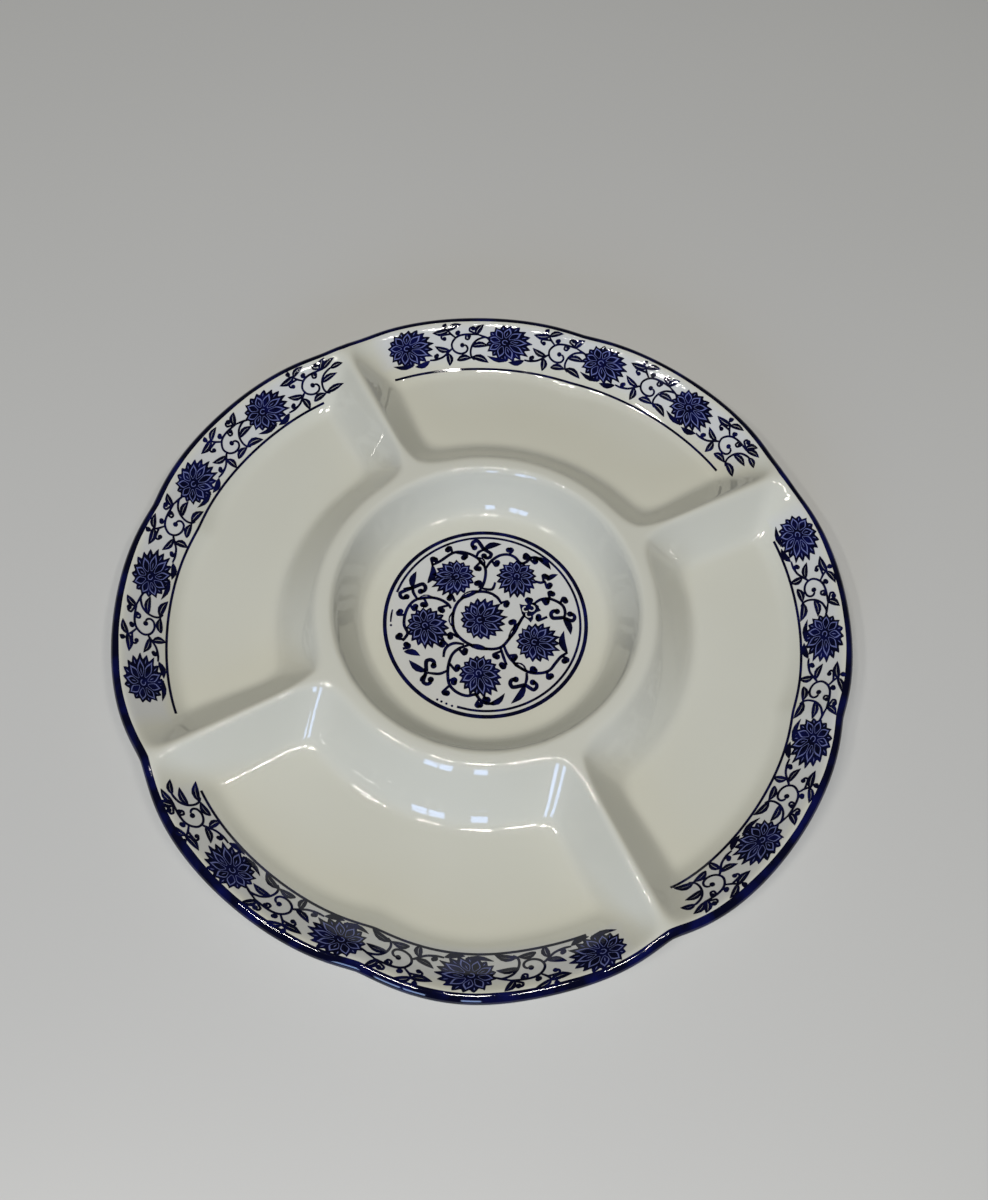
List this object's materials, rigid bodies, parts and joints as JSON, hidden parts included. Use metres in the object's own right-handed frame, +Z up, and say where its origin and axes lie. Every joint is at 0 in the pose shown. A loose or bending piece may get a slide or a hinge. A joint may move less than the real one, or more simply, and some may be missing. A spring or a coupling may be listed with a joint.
{
  "type": "divided appetizer dish",
  "caption": "Round divided serving dish in glazed porcelain: fan-shaped wells round a centre bowl, lobed rim, blue lip and printed blue borders.",
  "frame": {"origin": "centre of the foot ring on the plane that the dish stands on", "axes": "+Z up out of the dish; the four dividers lie along +X, +Y, -X and -Y"},
  "size_m": [0.2558, 0.2558, 0.026],
  "materials": {
    "porcelain": "clear glossy glaze over warm white porcelain, bare on the foot ring",
    "cobalt_lip": "brushed cobalt blue under clear glossy glaze",
    "cobalt_print": "printed dark cobalt blue under clear glossy glaze"
  },
  "bodies": {
    "root": {"porcelain_body": "porcelain", "edge_band": "cobalt_lip", "border_transfer_1": "cobalt_print", "border_transfer_2": "cobalt_print", "border_transfer_3": "cobalt_print", "border_transfer_4": "cobalt_print", "centre_transfer": "cobalt_print"}
  },
  "joints": []
}
